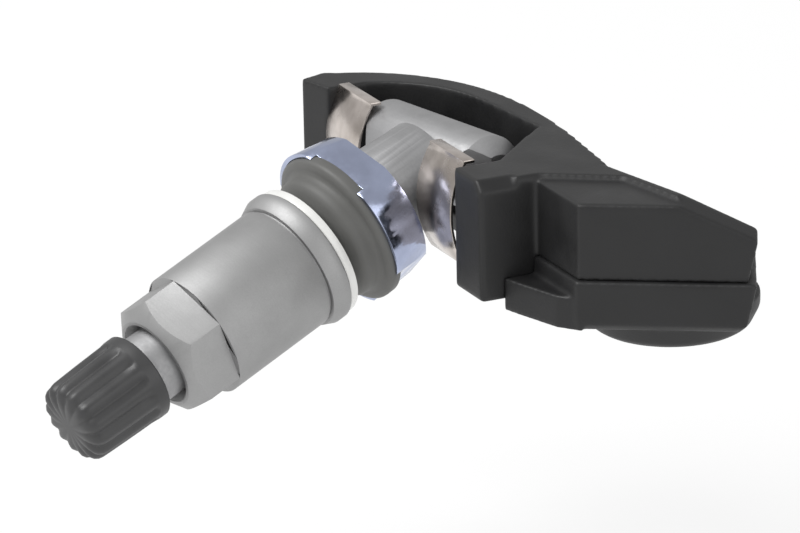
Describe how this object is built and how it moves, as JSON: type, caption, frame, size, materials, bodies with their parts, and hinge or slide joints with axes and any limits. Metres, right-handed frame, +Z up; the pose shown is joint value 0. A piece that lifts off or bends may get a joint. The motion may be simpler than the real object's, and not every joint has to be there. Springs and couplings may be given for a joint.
{
  "type": "tyre pressure sensor",
  "caption": "Clamp-in tyre pressure sensor: metal tyre valve with sleeve nut and cap, its cross-bar head held by spring clips in the fork of a black plastic sensor housing.",
  "frame": {"origin": "centre of the wheel's valve hole, on the stem's axis, at the face where the grommet meets the rim", "axes": "+Z up the fork's ears and square to the housing's flat top, +X along the row of the two ears towards the housing's body, -Y the side the stem leaves by. The stem's axis points 21 degrees below the XY plane and 13 degrees from -Y towards +X"},
  "size_m": [0.0622, 0.0717, 0.0271],
  "materials": {
    "stem_aluminium": "satin",
    "nut_aluminium": "satin, sand blasted",
    "collar_zinc": "blue passivated, bright",
    "grommet_rubber": "matt",
    "washer_nylon": "satin",
    "cap_plastic": "satin",
    "seal_rubber": "matt",
    "core_nickel_brass": "bright",
    "core_gasket_plastic": "satin",
    "spring_steel": "bright",
    "clip_steel": "bright, rolled",
    "housing_nylon": "fine grained",
    "board_laminate": "satin",
    "cell_steel": "bright",
    "tab_nickel": "bright",
    "chip_resin": "matt",
    "coil_ferrite": "matt, pressed",
    "winding_copper": "enamelled",
    "capacitor_resin": "matt",
    "antenna_wire": "tinned"
  },
  "bodies": {
    "valve": {"valve_stem": "stem_aluminium", "seat_collar": "collar_zinc", "grommet": "grommet_rubber", "core_plug": "core_nickel_brass", "core_barrel": "core_nickel_brass", "core_gasket": "core_gasket_plastic", "core_spring": "spring_steel"},
    "housing": {"upper_housing": "housing_nylon", "lower_housing": "housing_nylon", "left_clip": "clip_steel", "right_clip": "clip_steel", "circuit_board": "board_laminate", "battery": "cell_steel", "battery_tab_plus": "tab_nickel", "battery_tab_minus": "tab_nickel", "sensor_chip": "chip_resin", "port_seal": "seal_rubber", "coil_core": "coil_ferrite", "coil_winding": "winding_copper", "crystal": "cell_steel", "storage_capacitor": "capacitor_resin", "antenna": "antenna_wire"},
    "washer": {"washer": "washer_nylon"},
    "nut": {"sleeve_nut": "nut_aluminium"},
    "cap_seal": {"cap_seal": "seal_rubber"},
    "cap": {"valve_cap": "cap_plastic"},
    "pin": {"core_pin": "core_nickel_brass", "core_cup": "core_nickel_brass"}
  },
  "joints": [
    {"name": "stem_tilt", "type": "hinge", "parent": "valve", "child": "housing", "pos_m": [-0.0037, 0.01601, 0.00631], "axis": [0.9744, 0.225, 0], "range_deg": [-10, 10]},
    {"name": "washer_slide", "type": "slide", "parent": "valve", "child": "washer", "axis": [0.21, -0.9097, -0.3584], "range_m": [-0.00079, 0.00198]},
    {"name": "nut_turn", "type": "hinge", "parent": "washer", "child": "nut", "pos_m": [0.00252, -0.01092, -0.0043], "axis": [0.21, -0.9097, -0.3584], "range_deg": [-362, 902]},
    {"name": "seal_slide", "type": "slide", "parent": "valve", "child": "cap_seal", "axis": [0.21, -0.9097, -0.3584], "range_m": [0, 0.00476]},
    {"name": "cap_turn", "type": "hinge", "parent": "cap_seal", "child": "cap", "pos_m": [0.0063, -0.02729, -0.01075], "axis": [0.21, -0.9097, -0.3584], "range_deg": [0, 2162]},
    {"name": "core_press", "type": "slide", "parent": "valve", "child": "pin", "axis": [-0.21, 0.9097, 0.3584], "range_m": [0, 0.0008], "stiffness_N_per_m": 800, "springref_m": -0.001}
  ],
  "couplings": [
    {"joint": "nut_turn", "follows": "washer_slide", "rad_per_m": 7913.3},
    {"joint": "cap_turn", "follows": "seal_slide", "rad_per_m": 7913.3}
  ]
}
